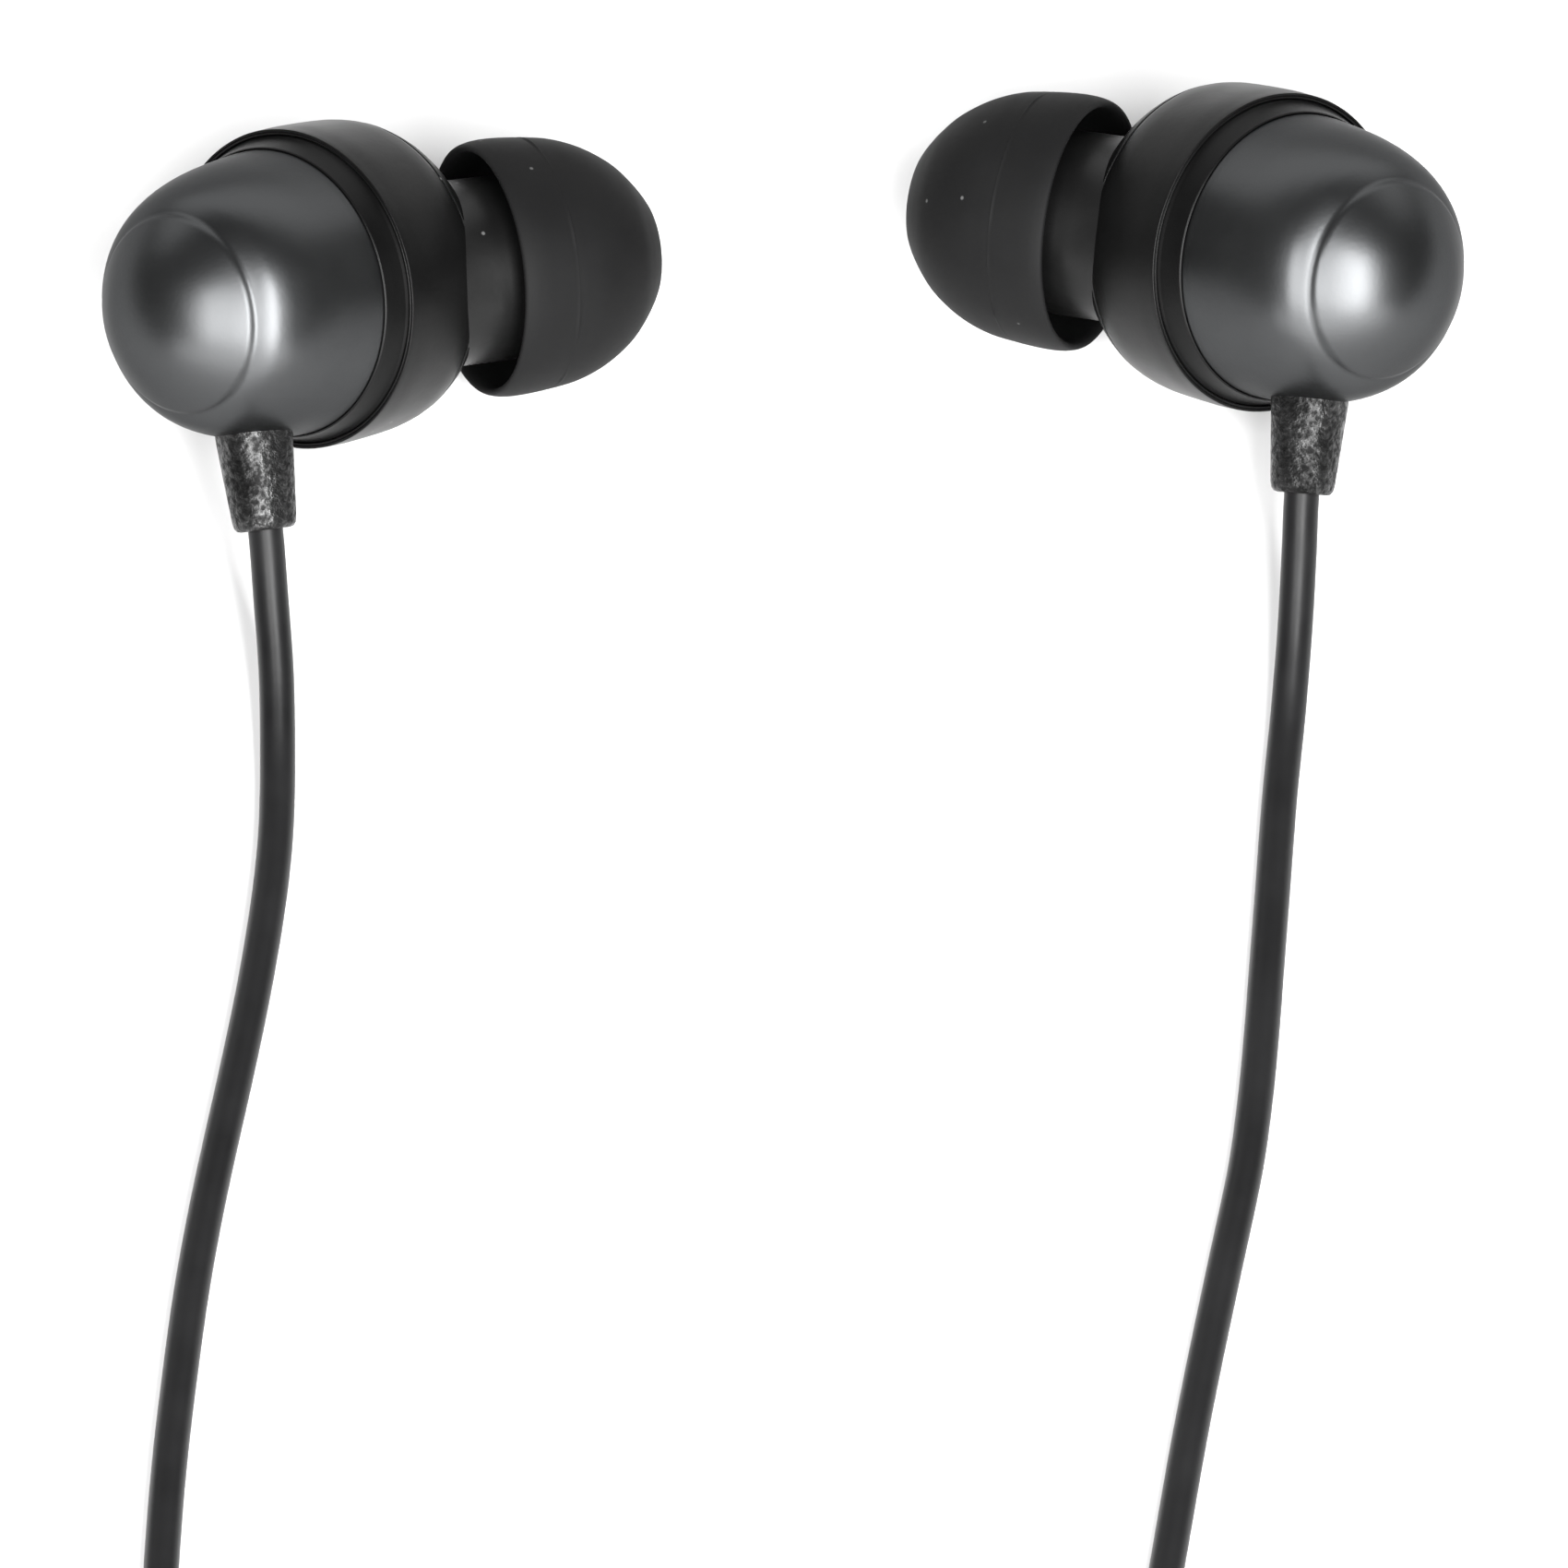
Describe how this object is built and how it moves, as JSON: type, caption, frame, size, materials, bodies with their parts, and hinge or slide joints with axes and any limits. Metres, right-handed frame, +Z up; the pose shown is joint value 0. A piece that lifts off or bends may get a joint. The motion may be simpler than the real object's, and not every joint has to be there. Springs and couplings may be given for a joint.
{
  "type": "wired earphones",
  "caption": "Wired in-ear earphones with metal rear shells, silicone ear tips, moving diaphragms, coiled cords, a splitter and a stereo plug.",
  "frame": {"origin": "on the surface the earphones lie on, under the middle of the two earpieces' bounding box", "axes": "+X from the left earpiece to the right one, +Y away from the cords, +Z up"},
  "size_m": [0.0656, 0.1604, 0.018],
  "materials": {
    "gunmetal": "satin dark grey anodised",
    "black_plastic": "semi-matt moulded",
    "black_silicone": "matt silicone",
    "black_rubber": "grainy matt",
    "cord_jacket": "smooth matt",
    "cord_tie": "smooth",
    "steel": "plain",
    "copper_wire": "enamelled wire",
    "diaphragm_film": "clear film",
    "foam": "open foam",
    "circuit_board": "solder mask",
    "gold_plate": "polished gold plate"
  },
  "bodies": {
    "earphones": {"left_rear_shell": "gunmetal", "left_bezel_ring": "black_plastic", "left_front_housing": "black_plastic", "left_nozzle": "black_plastic", "left_strain_relief": "black_rubber", "left_damping_foam": "foam", "left_driver_frame": "black_plastic", "left_driver_yoke": "steel", "left_driver_magnet": "steel", "left_pole_plate": "steel", "left_driver_seal": "foam", "left_driver_cover": "steel", "left_terminal_board": "circuit_board", "left_lead_wires": "copper_wire", "left_cord_knot": "cord_jacket", "left_nozzle_mesh": "steel", "right_rear_shell": "gunmetal", "right_bezel_ring": "black_plastic", "right_front_housing": "black_plastic", "right_nozzle": "black_plastic", "right_strain_relief": "black_rubber", "right_damping_foam": "foam", "right_driver_frame": "black_plastic", "right_driver_yoke": "steel", "right_driver_magnet": "steel", "right_pole_plate": "steel", "right_driver_seal": "foam", "right_driver_cover": "steel", "right_terminal_board": "circuit_board", "right_lead_wires": "copper_wire", "right_cord_knot": "cord_jacket", "right_nozzle_mesh": "steel", "left_cord": "cord_jacket", "left_cord_coil": "cord_jacket", "left_cord_run": "cord_jacket", "right_cord": "cord_jacket", "right_cord_coil": "cord_jacket", "right_cord_run": "cord_jacket", "main_cord_run": "cord_jacket", "main_cord_coil": "cord_jacket", "main_cord_end": "cord_jacket", "y_splitter": "black_plastic", "left_coil_tie": "cord_tie", "right_coil_tie": "cord_tie", "main_coil_tie": "cord_tie", "plug_grip": "black_plastic", "plug_flex_relief": "black_rubber", "plug_sleeve": "gold_plate", "plug_ring": "gold_plate", "plug_tip": "gold_plate", "plug_rear_insulator": "black_plastic", "plug_front_insulator": "black_plastic"},
    "left_tip": {"left_eartip": "black_silicone"},
    "left_cone": {"left_diaphragm": "diaphragm_film", "left_voice_coil": "copper_wire"},
    "right_tip": {"right_eartip": "black_silicone"},
    "right_cone": {"right_diaphragm": "diaphragm_film", "right_voice_coil": "copper_wire"}
  },
  "joints": [
    {"name": "left_tip_pull", "type": "slide", "parent": "earphones", "child": "left_tip", "axis": [0.9176, 0.2928, -0.2689], "range_m": [0, 0.005]},
    {"name": "left_cone_travel", "type": "slide", "parent": "earphones", "child": "left_cone", "axis": [0.6513, 0.5034, -0.5678], "range_m": [-0.00015, 0.00015], "stiffness_N_per_m": 100},
    {"name": "right_tip_pull", "type": "slide", "parent": "earphones", "child": "right_tip", "axis": [-0.9149, 0.3095, -0.2593], "range_m": [0, 0.005]},
    {"name": "right_cone_travel", "type": "slide", "parent": "earphones", "child": "right_cone", "axis": [-0.648, 0.5152, -0.561], "range_m": [-0.00015, 0.00015], "stiffness_N_per_m": 100}
  ]
}
